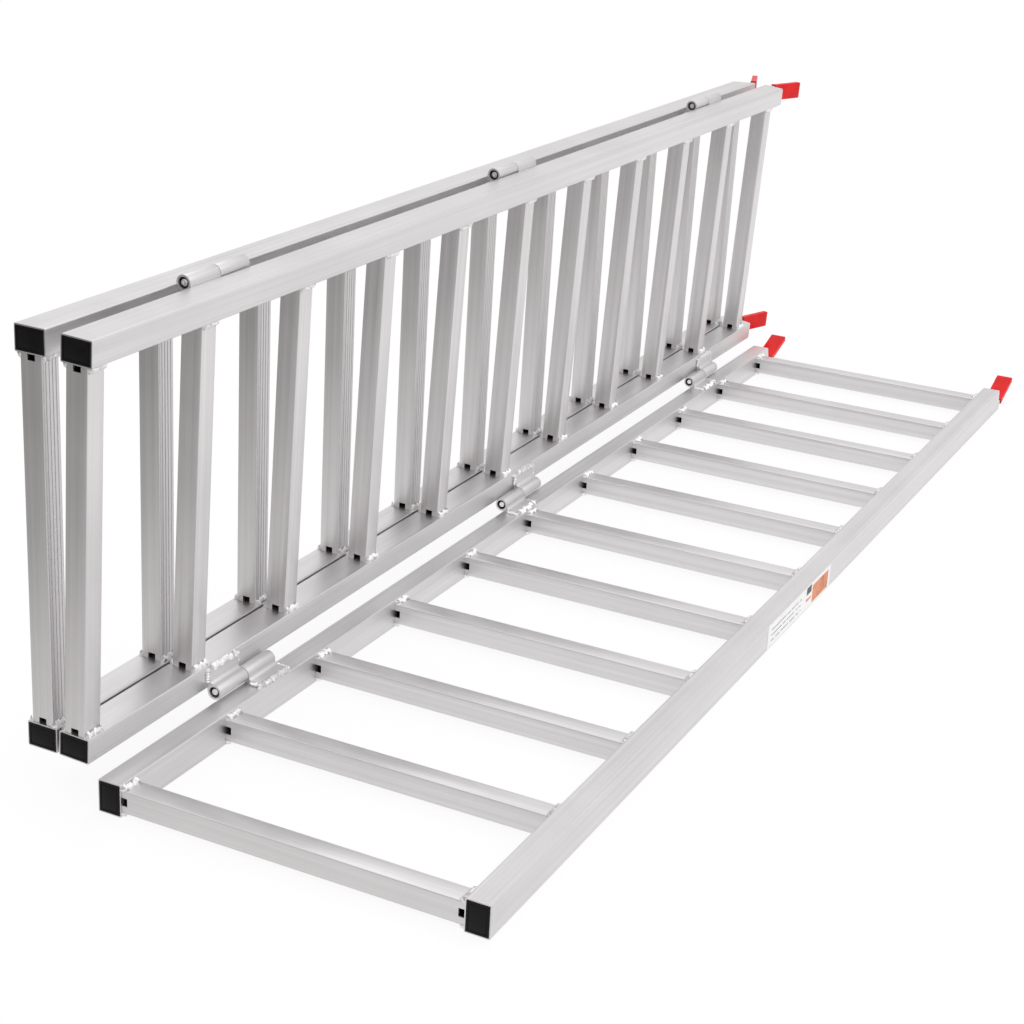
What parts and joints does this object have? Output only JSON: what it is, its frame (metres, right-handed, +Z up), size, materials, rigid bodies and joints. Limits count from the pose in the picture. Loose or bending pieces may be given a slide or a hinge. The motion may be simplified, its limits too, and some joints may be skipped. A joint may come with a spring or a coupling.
{
  "type": "folding loading ramp",
  "caption": "Tri-fold ladder loading ramp with barrel hinges, coated lips and capped rails, shown part folded for storage.",
  "frame": {"origin": "bottom centre of the whole part's box, on the ground under the standing panels and the flat panel", "axes": "+Z up, +Y along the rails towards the coated lips, +X across the panels towards the flat panel's outer rail"},
  "size_m": [0.5384, 1.9906, 0.5119],
  "materials": {
    "rail_aluminium": "mill-finish extrusion, satin, with fine drawing lines",
    "rung_aluminium": "mill-finish extrusion, satin, grooved tread",
    "hinge_aluminium": "mill-finish hinge extrusion, satin",
    "cap_plastic": "black moulded polythene",
    "lip_plate": "bent flat bar, satin",
    "lip_coating": "red dipped vinyl, semi-gloss",
    "pin_steel": "zinc-plated bar",
    "nut_steel": "spring steel, dark",
    "label_print": "blank printed vinyl, white with an orange block"
  },
  "bodies": {
    "flat_panel": {"flat_hinge_rail": "rail_aluminium", "flat_outer_rail": "rail_aluminium", "flat_rung_01": "rung_aluminium", "flat_rung_02": "rung_aluminium", "flat_rung_03": "rung_aluminium", "flat_rung_04": "rung_aluminium", "flat_rung_05": "rung_aluminium", "flat_rung_06": "rung_aluminium", "flat_rung_07": "rung_aluminium", "flat_rung_08": "rung_aluminium", "flat_rung_09": "rung_aluminium", "flat_rung_10": "rung_aluminium", "flat_rung_11": "rung_aluminium", "flat_end_caps": "cap_plastic", "flat_lip_plates": "lip_plate", "flat_lip_coatings": "lip_coating", "flat_hinge_leaves": "hinge_aluminium", "lower_hinge_pins": "pin_steel", "lower_hinge_push_nuts": "nut_steel", "flat_label": "label_print"},
    "middle_panel": {"middle_upper_rail": "rail_aluminium", "middle_lower_rail": "rail_aluminium", "middle_rung_01": "rung_aluminium", "middle_rung_02": "rung_aluminium", "middle_rung_03": "rung_aluminium", "middle_rung_04": "rung_aluminium", "middle_rung_05": "rung_aluminium", "middle_rung_06": "rung_aluminium", "middle_rung_07": "rung_aluminium", "middle_rung_08": "rung_aluminium", "middle_rung_09": "rung_aluminium", "middle_rung_10": "rung_aluminium", "middle_rung_11": "rung_aluminium", "middle_end_caps": "cap_plastic", "middle_lip_plates": "lip_plate", "middle_lip_coatings": "lip_coating", "middle_lower_hinge_leaves": "hinge_aluminium", "middle_upper_hinge_leaves": "hinge_aluminium", "upper_hinge_pins": "pin_steel", "upper_hinge_push_nuts": "nut_steel"},
    "outer_panel": {"outer_lower_rail": "rail_aluminium", "outer_upper_rail": "rail_aluminium", "outer_rung_01": "rung_aluminium", "outer_rung_02": "rung_aluminium", "outer_rung_03": "rung_aluminium", "outer_rung_04": "rung_aluminium", "outer_rung_05": "rung_aluminium", "outer_rung_06": "rung_aluminium", "outer_rung_07": "rung_aluminium", "outer_rung_08": "rung_aluminium", "outer_rung_09": "rung_aluminium", "outer_rung_10": "rung_aluminium", "outer_rung_11": "rung_aluminium", "outer_end_caps": "cap_plastic", "outer_lip_plates": "lip_plate", "outer_lip_coatings": "lip_coating", "outer_hinge_leaves": "hinge_aluminium"}
  },
  "joints": [
    {"name": "lower_fold", "type": "hinge", "parent": "flat_panel", "child": "middle_panel", "pos_m": [-0.18363, 0, 0.0462], "axis": [0, -1, 0], "range_deg": [-89.61, 92.4]},
    {"name": "upper_fold", "type": "hinge", "parent": "middle_panel", "child": "outer_panel", "pos_m": [-0.21992, 0, 0.50312], "axis": [0, 1, 0], "range_deg": [0, 182.01]}
  ]
}
